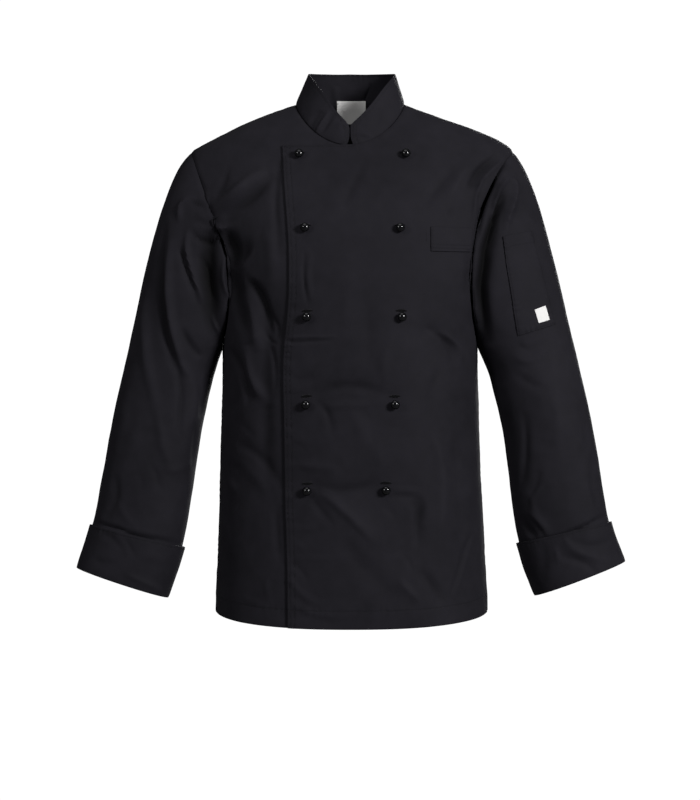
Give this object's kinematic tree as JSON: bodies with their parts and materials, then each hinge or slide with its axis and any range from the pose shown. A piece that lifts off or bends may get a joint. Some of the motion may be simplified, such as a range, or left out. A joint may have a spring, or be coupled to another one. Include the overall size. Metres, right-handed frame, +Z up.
{
  "type": "double-breasted chef jacket in worn form, held up by the wearer's shoulders",
  "caption": "Black double-breasted chef jacket with stand collar, long sleeves, turned-back cuffs, stud buttons, chest pocket and sleeve pocket, filled out with no wearer.",
  "frame": {"origin": "middle of the neck, level with the inner ends of the shoulder seams, where the wearer's shoulders hold the jacket up", "axes": "+Z up towards the collar's top, -Y out of the front, +X towards the wearer's left"},
  "size_m": [0.784, 0.2545, 0.795],
  "materials": {
    "cloth": "black cotton and polyester drill, matt with a faint sheen",
    "label": "white woven tape, bare",
    "stud": "glossy black"
  },
  "bodies": {
    "root": {"front_left": "cloth", "front_right": "cloth", "back": "cloth", "collar": "cloth", "sleeve_left": "cloth", "sleeve_right": "cloth", "cuff_left": "cloth", "cuff_right": "cloth", "chest_pocket": "cloth", "sleeve_pocket": "cloth", "neck_label": "label", "sleeve_label": "label", "button_1_right": "stud", "button_1_left": "stud", "button_2_right": "stud", "button_2_left": "stud", "button_3_right": "stud", "button_3_left": "stud", "button_4_right": "stud", "button_4_left": "stud", "button_5_right": "stud", "button_5_left": "stud"}
  },
  "joints": []
}
